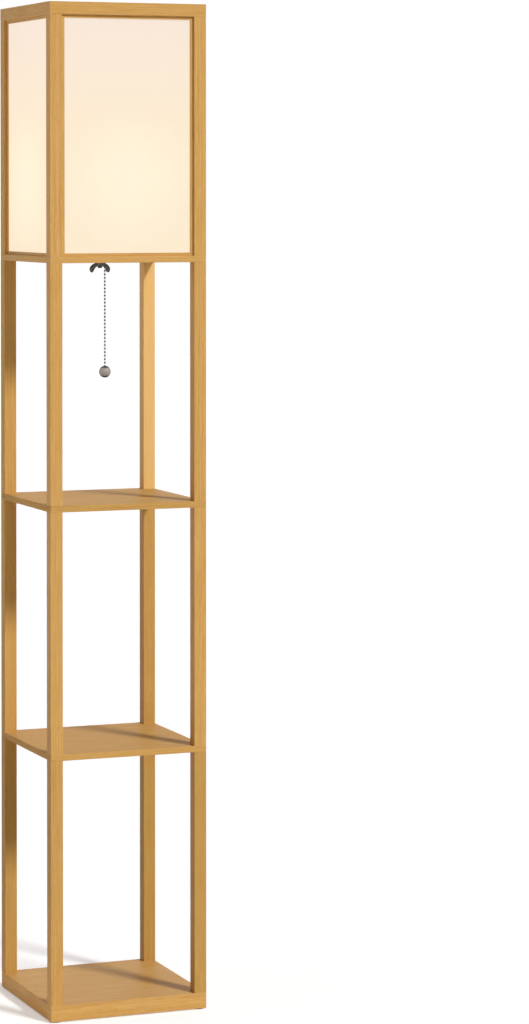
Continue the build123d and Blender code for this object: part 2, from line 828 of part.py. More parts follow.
spring_bottom = guide_inner_floor + spring_wire_radius
spring_length = tongue_bottom - spring_gap - spring_wire_radius - spring_bottom
with BuildPart() as return_spring:
    with BuildLine(Pos(0, chain_y, spring_bottom)) as coil:
        Helix(spring_length / spring_turns, spring_length, spring_radius)
    with BuildSketch(Plane(origin=coil.line @ 0, z_dir=coil.line % 0)):
        Circle(spring_wire_radius)
    sweep()
keep(return_spring, "return_spring")

with BuildPart() as chain_guide:
    with BuildSketch(Plane.XY.offset(cap_top)):
        lug_length = holder_y - chain_y
        with Locations((0, chain_y + lug_length / 2)):
            Rectangle(tongue_width + 2 * (slot_gap + lug_wall), lug_length)
    extrude(amount=guide_inner_top + guide_roof - cap_top)
    with BuildSketch(Plane.XY.offset(cap_top)):
        with Locations((0, holder_y)):
            Circle(holder_radius)
    extrude(amount=holder_shell_height, mode=Mode.SUBTRACT)
    with BuildSketch(Plane.XY.offset(guide_bottom)):
        with Locations((0, chain_y)):
            Circle(guide_radius)
    extrude(amount=guide_inner_top + guide_roof - guide_bottom)
    with BuildSketch(Plane.XY.offset(guide_bottom)):
        with Locations((0, chain_y)):
            Circle(guide_radius + mouth_lip)
    extrude(amount=mouth_height)
    with BuildSketch(Plane.XY.offset(guide_inner_floor)):
        with Locations((0, chain_y)):
            Circle(guide_bore_radius)
    extrude(amount=guide_inner_top - guide_inner_floor, mode=Mode.SUBTRACT)
    with BuildSketch(Plane.XY.offset(guide_bottom)):
        with Locations((0, chain_y)):
            Circle(rod_radius + rod_gap)
    extrude(amount=guide_floor, mode=Mode.SUBTRACT)
    with BuildSketch(Plane.XZ.offset(-chain_y)):
        front_slot(tongue_width + 2 * slot_gap, cavity_bottom, cavity_top)
    extrude(amount=chain_y - holder_y, mode=Mode.SUBTRACT)
keep(chain_guide, "chain_guide")

# --- bead chain -------------------------------------------------------------------------------
connector_reach = bead_radius + bead_gap + connector_end
with BuildPart() as chain_connector:
    with BuildSketch(Plane.XY.offset(chain_top - connector_reach)):
        with Locations((0, chain_y)):
            Circle(connector_radius)
            Circle(connector_hole_radius, mode=Mode.SUBTRACT)
    extrude(amount=bead_pitch + 2 * connector_reach)
    with BuildSketch(Plane.XY.offset(chain_top - connector_reach + connector_end)):
        with Locations((0, chain_y)):
            Circle(connector_bore_radius)
    extrude(amount=bead_pitch + 2 * (connector_reach - connector_end), mode=Mode.SUBTRACT)
keep(chain_connector, "chain_connector")

with BuildPart() as pull_chain:
    with Locations(*[(0, chain_y, chain_top - place * bead_pitch) for place in range(bead_count)]):
        Sphere(bead_radius)
    with BuildSketch(Plane.XY.offset(chain_top)):
        with Locations((0, chain_y)):
            Circle(link_radius)
    extrude(amount=last_bead - chain_top)
keep(pull_chain, "pull_chain")

neck_bottom = last_bead + bead_radius + thread_gap
with BuildPart() as chain_end_ball:
    with Locations((0, chain_y, ball_middle)):
        Sphere(ball_radius)
    with BuildSketch(Plane.XY.offset(ball_middle - ball_radius)):
        with Locations((0, chain_y)):
            Circle(ball_bore_radius)
    extrude(amount=neck_bottom - ball_middle + ball_radius, mode=Mode.SUBTRACT)
    with BuildSketch(Plane.XY.offset(neck_bottom)):
        with Locations((0, chain_y)):
            Circle(ball_neck_radius)
    extrude(amount=ball_neck, mode=Mode.SUBTRACT)
    with BuildSketch(Plane.XY.offset(neck_bottom + ball_neck)):
        with Locations((0, chain_y)):
            Circle(ball_bore_radius)
    extrude(amount=2 * ball_radius, mode=Mode.SUBTRACT)
keep(chain_end_ball, "chain_end_ball")
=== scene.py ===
"""The looks of the shelf floor lamp: lacquered oak tower, glowing linen shade, pull chain and wing nut.

Metres, +Z up, -Y is the front, as in the frame. Sizes named in millimetres are times MM."""
import math
import random

import bmesh
import bpy
from mathutils import Matrix, Vector


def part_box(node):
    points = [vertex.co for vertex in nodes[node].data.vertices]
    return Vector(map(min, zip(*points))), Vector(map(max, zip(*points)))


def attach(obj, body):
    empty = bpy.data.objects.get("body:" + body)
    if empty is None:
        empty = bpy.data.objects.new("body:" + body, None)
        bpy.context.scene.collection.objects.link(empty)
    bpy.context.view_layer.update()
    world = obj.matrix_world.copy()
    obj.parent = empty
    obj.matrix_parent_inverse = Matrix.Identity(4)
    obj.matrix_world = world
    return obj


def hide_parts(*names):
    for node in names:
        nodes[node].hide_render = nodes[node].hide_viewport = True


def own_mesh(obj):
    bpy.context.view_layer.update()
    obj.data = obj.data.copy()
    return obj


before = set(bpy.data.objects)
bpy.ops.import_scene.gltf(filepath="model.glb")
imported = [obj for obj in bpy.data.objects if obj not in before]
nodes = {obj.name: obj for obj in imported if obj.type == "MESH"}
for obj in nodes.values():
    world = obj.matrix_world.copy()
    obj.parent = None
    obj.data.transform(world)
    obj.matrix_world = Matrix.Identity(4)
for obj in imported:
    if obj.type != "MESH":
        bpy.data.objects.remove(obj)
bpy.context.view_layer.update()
MM = 0.001
SIDES = ("front", "right", "back", "left")


# --- materials ------------------------------------------------------------------------------------
def colour(hex_value):
    """Linear RGBA of an sRGB hex colour."""
    channels = [int(hex_value[at:at + 2], 16) / 255 for at in (1, 3, 5)]
    return (*[c / 12.92 if c <= 0.04045 else ((c + 0.055) / 1.055) ** 2.4 for c in channels], 1)


def wire(tree, node, sockets):
    """Set a node's sockets, each to a plain value or to another node's output."""
    for name, value in sockets.items():
        if isinstance(value, bpy.types.NodeSocket):
            tree.links.new(value, node.inputs[name])
        else:
            node.inputs[name].default_value = value


def add(tree, kind, sockets, output=0, **settings):
    """Add one node with its settings and links, and give one of its outputs."""
    node = tree.nodes.new("ShaderNode" + kind)
    for name, value in settings.items():
        setattr(node, name, value)
    wire(tree, node, sockets)
    return node.outputs[output]


def blank(name):
    """A new material with its shader: the tree and the Principled node."""
    material = bpy.data.materials.new(name)
    material.use_nodes = True
    return material, material.node_tree, material.node_tree.nodes["Principled BSDF"]


def in_mm(tree, offset=(0, 0, 0)):
    """The piece's own coordinates in millimetres, moved by an offset in millimetres."""
    place = add(tree, "TexCoord", {}, "Object")
    return add(tree, "Mapping", {"Vector": place, "Location": offset, "Scale": (1 / MM, 1 / MM, 1 / MM)})


# --- oak ------------------------------------------------------------------------------------------
# Golden oak veneer under satin lacquer: fine straight grain that runs along each member, in slow
# bands of lighter and darker wood, with short dark pores. The lacquer gives a soft, broad sheen.
OAK_LIGHT = "#DAB06C"
OAK_MID = "#CEA05C"
OAK_DARK = "#B98742"
OAK_PORE = "#8A5C2A"
OAK_WORN = "#DDB57A"
OAK_PALE = "#F4CE88"
OAK_DEEP = "#92702D"
OAK_SHINE = "#C9B38F"            # amber lacquer warms what it mirrors
TONE_SHIFTED_PIECES = {                  # pieces mixed towards a paler or deeper tone, and by how much: darker low down and at the back, one upper back post paler
    "upper_post_back_right": (OAK_PALE, 0.5),
    "upper_post_back_left": (OAK_DEEP, 0.2),
    "middle_post_back_left": (OAK_DEEP, 0.12),
    "middle_post_back_right": (OAK_DEEP, 0.3),
    "lower_post_back_left": (OAK_DEEP, 0.4),
    "lower_post_back_right": (OAK_DEEP, 0.45),
    "lower_post_front_right": (OAK_DEEP, 0.33),
    "lower_post_front_left": (OAK_DEEP, 0.12),
    "upper_shelf": (OAK_DEEP, 0.22),
    "lower_shelf": (OAK_DEEP, 0.1),
}
LACQUER = 0.1                    # how much the lacquer mirrors
SHELF_LACQUER = 0.03             # what stands on a shelf has rubbed it matt
GRAIN_STRETCH = 25               # grain figure is this many times longer than wide
BAND_MM = 16                     # slow bands of tone
RING_MM = 3.6                    # growth rings as they reach the face
STREAK_MM = 2.4
FIBRE_MM = 0.9                   # real fibres are a third as wide; drawn coarse enough to show
PORE_MM = 0.5
HANDLED_MM = 22                  # patches where hands have rubbed an edge
WORN_EDGE_MM = 1.1
WAVE_PERIOD = 2 * math.pi / 20   # length of one band of a wave texture at scale 1


def grain_first(tree, parts, axis):
    """Coordinates in the order grain, across, across."""
    first, second = [other for other in "XYZ" if other != axis]
    return add(tree, "CombineXYZ", {"X": parts[axis], "Y": parts[first], "Z": parts[second]})


def from_middle(tree, node_name):
    """A point's distance from its piece's middle along each axis and the piece's half size, both in mm."""
    low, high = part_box(node_name)
    place = in_mm(tree, offset=tuple((low + high) / -2 / MM))
    return add(tree, "VectorMath", {0: place}, operation="ABSOLUTE"), (high - low) / 2 / MM


def nearness_to_edge(tree, node_name):
    """How near a point is to an edge of its piece: 1 on the edge, 0 further in than the worn width."""
    apart, half = from_middle(tree, node_name)
    inside = add(tree, "VectorMath", {0: tuple(half), 1: apart}, operation="SUBTRACT")
    depth = add(tree, "SeparateXYZ", {0: inside}).node.outputs
    least = add(tree, "Math", {0: depth["X"], 1: depth["Y"]}, operation="MINIMUM")
    most = add(tree, "Math", {0: depth["X"], 1: depth["Y"]}, operation="MAXIMUM")
    next_least = add(tree, "Math", {0: most, 1: depth["Z"]}, operation="MINIMUM")
    second = add(tree, "Math", {0: least, 1: next_least}, operation="MAXIMUM")
    return add(tree, "MapRange", {"Value": second, 1: 0, 2: WORN_EDGE_MM, 3: 1, 4: 0})


def oak(node_name, axis, cross_axis=None, cross_mask=None):
    """Oak for one piece, with its own stretch of grain, which runs the other way where cross_mask says."""
    chance = random.Random(node_name)
    material, tree, shader = blank("oak_" + node_name)
    offset = tuple(chance.uniform(-900, 900) for _ in range(3))
    parts = add(tree, "SeparateXYZ", {0: in_mm(tree, offset)}).node.outputs
    along = grain_first(tree, parts, axis)
    if cross_axis:
        other_way = grain_first(tree, parts, cross_axis)
        along = add(tree, "Mix", {0: cross_mask(tree), 4: along, 5: other_way}, 1, data_type="VECTOR")
    grain = add(tree, "Mapping", {"Vector": along, "Scale": (1 / GRAIN_STRETCH, 1, 1)})

    bands = add(tree, "TexNoise", {"Vector": grain, "Scale": 1 / BAND_MM})
    streaks = add(tree, "TexNoise", {"Vector": grain, "Scale": 1 / STREAK_MM, "Detail": 4})
    fibres = add(tree, "TexNoise", {"Vector": grain, "Scale": 1 / FIBRE_MM, "Detail": 3})
    pore_field = add(tree, "TexNoise", {"Vector": grain, "Scale": 1 / PORE_MM, "Detail": 1})
    pores = add(tree, "MapRange", {"Value": pore_field, 1: 0.62, 2: 0.74})
    ring_sockets = {"Vector": grain, "Scale": WAVE_PERIOD / RING_MM, "Distortion": 5,
                    "Detail": 2, "Detail Scale": 0.6}
    rings = add(tree, "TexWave", ring_sockets, "Fac", wave_type="RINGS", rings_direction="X")

    figure = add(tree, "Math", {0: streaks, 1: 0.6}, operation="MULTIPLY")
    figure = add(tree, "Math", {0: fibres, 1: 0.4, 2: figure}, operation="MULTIPLY_ADD")
    figure = add(tree, "Math", {0: rings, 1: 0.11, 2: figure}, operation="MULTIPLY_ADD")
    shade = chance.uniform(-0.04, 0.04)
    darker = add(tree, "MapRange", {"Value": figure, 1: 0.40 + shade, 2: 0.78 + shade})
    wood = add(tree, "Mix", {0: darker, 6: colour(OAK_LIGHT), 7: colour(OAK_DARK)}, 2, data_type="RGBA")
    calm = add(tree, "MapRange", {"Value": bands, 1: 0.35, 2: 0.7, 3: 0.25, 4: 0.65})
    wood = add(tree, "Mix", {0: calm, 6: wood, 7: colour(OAK_MID)}, 2, data_type="RGBA")
    pore_share = add(tree, "Math", {0: pores, 1: 0.35}, operation="MULTIPLY")
    wood = add(tree, "Mix", {0: pore_share, 6: wood, 7: colour(OAK_PORE)}, 2, data_type="RGBA")
    # some pieces are mixed towards a paler or deeper tone: darker low down and at the back
    if node_name in TONE_SHIFTED_PIECES:
        shift_colour, shift_share = TONE_SHIFTED_PIECES[node_name]
        wood = add(tree, "Mix", {0: shift_share, 6: wood, 7: colour(shift_colour)}, 2, data_type="RGBA")
    handling = add(tree, "TexNoise", {"Vector": in_mm(tree), "Scale": 1 / HANDLED_MM})
    handled = add(tree, "MapRange", {"Value": handling, 1: 0.42, 2: 0.62, 4: 0.45})
    worn = add(tree, "Math", {0: nearness_to_edge(tree, node_name), 1: handled}, operation="MULTIPLY")
    wood = add(tree, "Mix", {0: worn, 6: wood, 7: colour(OAK_WORN)}, 2, data_type="RGBA")

    relief = add(tree, "Math", {0: fibres, 1: 0.5}, operation="MULTIPLY")
    relief = add(tree, "Math", {0: relief, 1: pores}, operation="SUBTRACT")
    wire(tree, shader, {
        "Base Color": wood,
        "Roughness": add(tree, "MapRange", {"Value": streaks, 1: 0.3, 2: 0.7, 3: 0.40, 4: 0.52}),
        "Normal": add(tree, "Bump", {"Height": relief, "Strength": 0.35, "Distance": 0.12 * MM}),
        "IOR": 1.5,
        "Specular IOR Level": SHELF_LACQUER if "shelf" in node_name else LACQUER,
        "Specular Tint": colour(OAK_SHINE),
    })
    return material


def banded_ends(tree):
    """1 on the left and right edges of a board, whose edge banding has its grain along the edge."""
    normal = add(tree, "TexCoord", {}, "Normal")
    across = add(tree, "SeparateXYZ", {0: normal}, "X")
    steepness = add(tree, "Math", {0: across}, operation="ABSOLUTE")
    return add(tree, "Math", {0: steepness, 1: 0.7}, operation="GREATER_THAN")


def upright_strips(node_name, across):
    """A mask for a batten frame: 1 on its two upright strips, which meet the level ones at mitres."""
    def mask(tree):
        apart, half = from_middle(tree, node_name)
        parts = add(tree, "SeparateXYZ", {0: apart}).node.outputs
        reach = {"X": half.x, "Y": half.y}[across]
        sideways = add(tree, "Math", {0: parts[across], 1: reach}, operation="SUBTRACT")
        upwards = add(tree, "Math", {0: parts["Z"], 1: half.z}, operation="SUBTRACT")
        return add(tree, "Math", {0: sideways, 1: upwards}, operation="GREATER_THAN")
    return mask


def dress_oak(node_name):
    """Give a wooden node its grain: along posts and rails, left to right on boards."""
    if "post" in node_name:
        return oak(node_name, "Z")
    if "batten" in node_name:
        across = "X" if node_name.endswith(("front", "back")) else "Y"
        return oak(node_name, across, "Z", upright_strips(node_name, across))
    if node_name.startswith("top_rail"):
        return oak(node_name, "X" if node_name.endswith(("front", "back")) else "Y")
    return oak(node_name, "X", "Y", banded_ends)


def beech():
    """Turned beech dowel: pale and even, with fine flecks along it."""
    material, tree, shader = blank("beech_dowel_rod")
    place = add(tree, "Mapping", {"Vector": in_mm(tree), "Scale": (1, 1, 0.2)})
    flecks = add(tree, "TexNoise", {"Vector": place, "Scale": 0.8, "Detail": 3})
    fleck_share = add(tree, "MapRange", {"Value": flecks, 1: 0.45, 2: 0.7})
    tone = add(tree, "Mix", {0: fleck_share, 6: colour("#DDBE94"), 7: colour("#BE9566")}, 2, data_type="RGBA")
    wire(tree, shader, {
        "Base Color": tone,
        "Roughness": 0.6,
        "Normal": add(tree, "Bump", {"Height": flecks, "Strength": 0.3, "Distance": 0.05 * MM}),
    })
    return material


# --- metals, plastics, felt -----------------------------------------------------------------------
def metal(name, bright, dull, roughness, grit_mm, bump_mm=0.01):
    """A metal finish: its colour drifts between two tones and its grit breaks up the shine."""
    material, tree, shader = blank(name)
    place = in_mm(tree)
    patches = add(tree, "TexNoise", {"Vector": place, "Scale": 1 / (6 * grit_mm), "Detail": 3})
    grit = add(tree, "TexNoise", {"Vector": place, "Scale": 1 / grit_mm, "Detail": 4})
    drift = add(tree, "MapRange", {"Value": patches, 1: 0.35, 2: 0.65})
    low, high = 0.8 * roughness, 1.25 * roughness
    wire(tree, shader, {
        "Base Color": add(tree, "Mix", {0: drift, 6: colour(bright), 7: colour(dull)}, 2, data_type="RGBA"),
        "Roughness": add(tree, "MapRange", {"Value": grit, 1: 0.3, 2: 0.7, 3: low, 4: high}),
        "Normal": add(tree, "Bump", {"Height": grit, "Strength": 0.5, "Distance": bump_mm * MM}),
        "Metallic": 1,
    })
    return material


def ball_plate():
    """Satin nickel plate on a pressed ball, with painted dark reflections and shade as caps round its two
    holes.
    """
    material, tree, shader = blank("satin_nickel_ball")
    apart, half = from_middle(tree, "chain_end_ball")
    height = add(tree, "SeparateXYZ", {0: apart}, "Z")
    wear = add(tree, "TexNoise", {"Vector": in_mm(tree), "Scale": 1 / 3, "Detail": 3})
    # painted dark reflections and shade: dark caps at the top and bottom, round the holes
    ragged = add(tree, "Math", {0: wear, 1: 4, 2: height}, operation="MULTIPLY_ADD")
    painted_dark_caps = add(tree, "MapRange", {"Value": ragged, 1: 0.80 * half.z, 2: 0.98 * half.z, 4: 0.92})
    rubbed = add(tree, "Mix", {0: wear, 6: colour("#B4ACA5"), 7: colour("#989390")}, 2, data_type="RGBA")
    wire(tree, shader, {
        "Base Color": add(tree, "Mix", {0: painted_dark_caps, 6: rubbed, 7: colour("#45413E")}, 2, data_type="RGBA"),
        "Roughness": add(tree, "MapRange", {"Value": wear, 1: 0.3, 2: 0.7, 3: 0.76, 4: 0.9}),
        "Normal": add(tree, "Bump", {"Height": wear, "Strength": 0.3, "Distance": 0.02 * MM}),
        "Metallic": 1,
    })
    return material


def moulded(name, base, speck, roughness, grain_mm, ior=1.5):
    """Moulded plastic, rubber or paint: even colour with fine specks and the mould's faint texture."""
    material, tree, shader = blank(name)
    place = in_mm(tree)
    field = add(tree, "TexNoise", {"Vector": place, "Scale": 1 / grain_mm, "Detail": 4})
    specks = add(tree, "MapRange", {"Value": field, 1: 0.5, 2: 0.75})
    texture = add(tree, "TexNoise", {"Vector": place, "Scale": 1 / (2 * grain_mm)})
    low, high = 0.85 * roughness, 1.15 * roughness
    wire(tree, shader, {
        "Base Color": add(tree, "Mix", {0: specks, 6: colour(base), 7: colour(speck)}, 2, data_type="RGBA"),
        "Roughness": add(tree, "MapRange", {"Value": texture, 1: 0.3, 2: 0.7, 3: low, 4: high}),
        "Normal": add(tree, "Bump", {"Height": texture, "Strength": 0.3, "Distance": 0.03 * MM}),
        "IOR": ior,
    })
    return material


def opal_globe():
    """Opal polycarbonate diffuser, lit from inside: bright all over, with a faint cloudiness."""
    material, tree, shader = blank("opal_polycarbonate")
    cloud = add(tree, "TexNoise", {"Vector": in_mm(tree), "Scale": 1 / 9})
    cloudy = add(tree, "MapRange", {"Value": cloud, 1: 0.3, 2: 0.7})
    lit = add(tree, "Mix", {0: cloudy, 6: colour("#FFEBC8"), 7: colour("#FFF3DC")}, 2, data_type="RGBA")
    shell = add(tree, "Mix", {0: cloud, 6: colour("#F6F0E2"), 7: colour("#EDE5D3")}, 2, data_type="RGBA")
    wire(tree, shader, {
        "Base Color": shell, "Emission Color": lit, "Emission Strength": 2.2, "Roughness": 0.35, "IOR": 1.58,
    })
    return material


def pressed_felt():
    """Pressed wool felt: matted short fibres, no shine."""
    material, tree, shader = blank("pressed_felt")
    fibres = add(tree, "TexNoise", {"Vector": in_mm(tree), "Scale": 1 / 0.8, "Detail": 6})
    matting = add(tree, "MapRange", {"Value": fibres, 1: 0.35, 2: 0.65})
    wire(tree, shader, {
        "Base Color": add(tree, "Mix", {0: matting, 6: colour("#6B5340"), 7: colour("#4B3829")}, 2,
                          data_type="RGBA"),
        "Normal": add(tree, "Bump", {"Height": fibres, "Strength": 0.8, "Distance": 0.3 * MM}),
        "Roughness": 0.95,
        "Sheen Weight": 0.25,
    })
    return material


finishes = {
    "beech_dowel": beech(),
    "felt": pressed_felt(),
    "zinc_steel": metal("zinc_plated_steel", "#C3C3BD", "#A5A69F", 0.35, 0.6),
    "dark_steel": metal("dark_satin_casting", "#62615E", "#4E4D4B", 0.45, 0.5, bump_mm=0.03),
    "black_steel": metal("dark_bolt_steel", "#3A3938", "#2B2A2A", 0.4, 0.5),
    "spring_steel": metal("drawn_spring_wire", "#A6A6A4", "#8B8B89", 0.3, 0.3),
    "nickel": metal("nickel_plate", "#A69E93", "#8F877C", 0.22, 0.8),
    "dark_nickel": metal("dark_nickel_plate", "#5E5E5D", "#4B4B4B", 0.3, 0.5),
    "satin_nickel": ball_plate(),
    "brass": metal("rolled_brass", "#D2AE62", "#B08B45", 0.3, 0.5),
    "black_phenolic": moulded("black_phenolic", "#1E1B1A", "#2C2826", 0.38, 0.7, ior=1.6),
    "grommet_rubber": moulded("black_rubber", "#242322", "#302F2D", 0.7, 0.5),
    "bulb_plastic": moulded("white_bulb_plastic", "#EDEBE5", "#E2DFD7", 0.38, 0.8),
    "led_aluminium": moulded("white_lamp_board_paint", "#E4E4E0", "#D4D4CF", 0.45, 0.5),
    "frosted_globe": opal_globe(),
}
PLATING = {                       # the chain's plating is darker than its satin ball's
    "pull_chain": "dark_nickel", "pull_plunger": "dark_nickel", "chain_connector": "dark_nickel",
    "chain_end_ball": "satin_nickel",
}
for name, node in nodes.items():
    slot = PLATING.get(name, node.data.materials[0].name)
    if slot == "oak_veneer":
        node.data.materials[0] = dress_oak(name)
    elif slot in finishes:
        node.data.materials[0] = finishes[slot]


# --- linen and film -------------------------------------------------------------------------------
# Fine plain-weave linen laminated on a film. The bulb's light coming through it is painted as emission: an
# even cream glow, brightest level with the bulb and warmer towards the battens. Now and then a thread is
# thicker.
LINEN_CLOTH = "#7A7468"       # how dark the cloth reflects, low enough that its painted glow outshines the room
LINEN_GAPS = "#6F695D"
GLOW_CENTRE = "#FFF6DA"
GLOW_EDGE = "#FFECCF"
GLOW_TOP = "#F8E7DA"
GLOW_THREAD = "#E9CFA6"       # painted light through a thread rather than between threads
# painted glow strength on each side; the left's is higher to make up for the room light it lacks
GLOW_STRENGTH = {"front": 0.79, "right": 0.79, "back": 0.79, "left": 0.88}
THREAD_MM = 1.2               # twice the real thread spacing, as coarse as it needs to show
SLUB_MM = 1.4
BULB_REACH_MM = (25, 118)     # the glow's bright middle, and where it has fallen to the edge's tone
CLOTH_MM = 0.45
FILM_MM = 0.6
CLOTH_CUTS = (74, 128)        # across and up
FILM_CUTS = (12, 20)


def in_plane_axis(side):
    return "X" if side in ("front", "back") else "Y"


def linen(side):
    """Linen for one side of the shade, with the bulb's light through it painted as a glow."""
    material, tree, shader = blank("linen_" + side)
    across = in_plane_axis(side)
    parts = add(tree, "SeparateXYZ", {0: in_mm(tree)}).node.outputs
    flat = add(tree, "CombineXYZ", {"X": parts[across], "Y": parts["Z"]})
    thread = {"Vector": flat, "Scale": WAVE_PERIOD / (2 * THREAD_MM), "Distortion": 0.5, "Detail Scale": 0.3}
    warp = add(tree, "TexWave", thread, "Fac", bands_direction="X")
    weft = add(tree, "TexWave", thread, "Fac", bands_direction="Y")
    difference = add(tree, "Math", {0: warp, 1: weft}, operation="SUBTRACT")
    over_under = add(tree, "Math", {0: difference}, operation="ABSOLUTE")
    lying = add(tree, "Mapping", {"Vector": flat, "Scale": (0.03, 1, 1)})
    standing = add(tree, "Mapping", {"Vector": flat, "Scale": (1, 0.02, 1)})
    weft_slubs = add(tree, "TexNoise", {"Vector": lying, "Scale": 1 / SLUB_MM, "Detail": 1})
    warp_slubs = add(tree, "TexNoise", {"Vector": standing, "Scale": 1 / SLUB_MM, "Detail": 1})
    slub_field = add(tree, "Math", {0: weft_slubs, 1: warp_slubs}, operation="MAXIMUM")
    slubs = add(tree, "MapRange", {"Value": slub_field, 1: 0.55, 2: 0.8})

    # painted glow: brightest level with the bulb, fading towards the edges and changing tone towards the top
    bulb_low, bulb_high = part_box("bulb_globe")
    bulb = (bulb_low + bulb_high) / 2 / MM
    beside_bulb = (bulb.x if across == "X" else bulb.y, bulb.z, 0)
    shade_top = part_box("linen_panel_" + side)[1].z / MM
    reach = add(tree, "VectorMath", {0: flat, 1: beside_bulb}, "Value", operation="DISTANCE")
    faded = add(tree, "MapRange", {"Value": reach, 1: BULB_REACH_MM[0], 2: BULB_REACH_MM[1]})
    glow = add(tree, "Mix", {0: faded, 6: colour(GLOW_CENTRE), 7: colour(GLOW_EDGE)}, 2, data_type="RGBA")
    height_share = add(tree, "MapRange", {"Value": parts["Z"], 1: bulb.z + 60, 2: shade_top})
    glow = add(tree, "Mix", {0: height_share, 6: glow, 7: colour(GLOW_TOP)}, 2, data_type="RGBA")
    for pattern, share in ((slubs, 0.10), (over_under, 0.06)):
        shaded = add(tree, "Math", {0: pattern, 1: share}, operation="MULTIPLY")
        glow = add(tree, "Mix", {0: shaded, 6: glow, 7: colour(GLOW_THREAD)}, 2, data_type="RGBA")

    relief = add(tree, "Math", {0: over_under, 1: 0.7, 2: slubs}, operation="MULTIPLY_ADD")
    cloth = add(tree, "Mix", {0: over_under, 6: colour(LINEN_CLOTH), 7: colour(LINEN_GAPS)}, 2,
                data_type="RGBA")
    wire(tree, shader, {
        "Base Color": cloth,
        "Emission Color": glow,
        "Emission Strength": GLOW_STRENGTH[side],
        "Normal": add(tree, "Bump", {"Height": relief, "Strength": 0.5, "Distance": 0.12 * MM}),
        "Roughness": 0.85,
        "Sheen Weight": 0.1,
    })
    return material


def film():
    """Clear film turned milky by the glue, with a faint even glow painted on it, seen from inside the shade.
    """
    material, tree, shader = blank("milky_film")
    cloud = add(tree, "TexNoise", {"Vector": in_mm(tree), "Scale": 1 / 14})
    lit = add(tree, "Mix", {0: cloud, 6: colour("#FFF0D4"), 7: colour("#FBE3C0")}, 2, data_type="RGBA")
    milk = add(tree, "Mix", {0: cloud, 6: colour("#B5AD9C"), 7: colour("#A69D8B")}, 2, data_type="RGBA")
    wire(tree, shader, {
        "Base Color": milk, "Emission Color": lit, "Emission Strength": 0.5, "Roughness": 0.3,
    })
    return material


# --- modelling by hand ----------------------------------------------------------------------------
METAL_CREASE = math.radians(35)  # edges sharper than this stay sharp
SOFT_CREASE = math.radians(50)
NEAR = 0.01 * MM                 # close enough to be the same height


def deselect_all():
    bpy.ops.object.select_all(action="DESELECT")


def take(*pieces):
    """Select only these pieces; the last is the active one."""
    deselect_all()
    for piece in pieces:
        piece.select_set(True)
    bpy.context.view_layer.objects.active = pieces[-1]


def place_applied(piece):
    """Leave a finished piece at the origin, with its place in its mesh."""
    take(piece)
    bpy.ops.object.transform_apply(location=True, rotation=True, scale=True)


def modified(piece, kind, **settings):
    """Add a modifier and apply it."""
    take(piece)
    modifier = piece.modifiers.new(kind.lower(), kind)
    for name, value in settings.items():
        setattr(modifier, name, value)
    bpy.ops.object.modifier_apply(modifier=modifier.name)


def pick(piece, kind, wanted):
    """In edit mode, select only the vertices, edges or faces that are wanted."""
    bpy.ops.mesh.select_mode(type={"verts": "VERT", "edges": "EDGE", "faces": "FACE"}[kind])
    bpy.ops.mesh.select_all(action="DESELECT")
    mesh = bmesh.from_edit_mesh(piece.data)
    for element in getattr(mesh, kind):
        if wanted(element):
            element.select_set(True)
    mesh.select_flush_mode()
    bmesh.update_edit_mesh(piece.data)


def panel_sheet(name, side, inset_mm, thickness_mm, cuts):
    """A flat sheet in the place of a linen panel, its outer face inset from the panel's outer face."""
    low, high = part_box("linen_panel_" + side)
    middle, size = (low + high) / 2, high - low
    outwards = {"front": Vector((0, -1, 0)), "back": Vector((0, 1, 0)),
                "left": Vector((-1, 0, 0)), "right": Vector((1, 0, 0))}[side]
    width, depth = (size.x, size.y) if in_plane_axis(side) == "X" else (size.y, size.x)
    turn = {"front": 0, "right": 90, "back": 180, "left": 270}[side]
    deselect_all()
    bpy.ops.mesh.primitive_grid_add(
        x_subdivisions=cuts[0], y_subdivisions=cuts[1], size=1,
        location=middle + outwards * (depth / 2 - inset_mm * MM),
        rotation=(math.radians(90), 0, math.radians(turn)))
    sheet = bpy.context.object
    sheet.name = name
    sheet.scale = (width, size.z, 1)
    place_applied(sheet)
    modified(sheet, "SOLIDIFY", thickness=thickness_mm * MM, offset=-1)
    return sheet


film_finish = film()
for side in SIDES:
    cloth = panel_sheet("linen_cloth_" + side, side, 0, CLOTH_MM, CLOTH_CUTS)
    backing = panel_sheet("film_backing_" + side, side, CLOTH_MM, FILM_MM, FILM_CUTS)
    cloth.data.materials.append(linen(side))
    backing.data.materials.append(film_finish)
    for piece in (cloth, backing):
        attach(piece, "tower")
    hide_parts("linen_panel_" + side)


# --- wing nut -------------------------------------------------------------------------------------
# A grey casting: a tapered hub with a flat seat, and two ears that sweep out and down, with the soft
# fillets that a casting has where the ears leave the hub.
SEAT_RADIUS = 8 * MM
CROWN_RADIUS = 6.2 * MM
HUB_HEIGHT = 7.4 * MM
BORE_RADIUS = 4.1 * MM
BORE_CHAMFER = 0.6 * MM
CROWN_ROUND = 1 * MM
EAR_BLOCK_MM = 3                 # each ear grows out of a block this long
CAST_GRAIN = 0.3 * MM            # voxels of the casting
SEAT_SPARE = 1 * MM              # stands above the seat until it is faced off
# Each ear's cross-sections from the hub outwards: out, down, turn, width, thickness.
EAR_STATIONS = (
    (3.5, 3.9, 0, 6.8, 4.4),
    (8.0, 5.0, 30, 7.4, 3.9),
    (11.6, 7.7, 50, 9.0, 3.5),
    (13.6, 11.0, 72, 9.6, 3.3),
    (13.9, 13.8, 88, 8.0, 3.3),
    (13.7, 15.7, 95, 5.8, 3.2),
    (13.5, 16.9, 95, 3.4, 2.4),
)


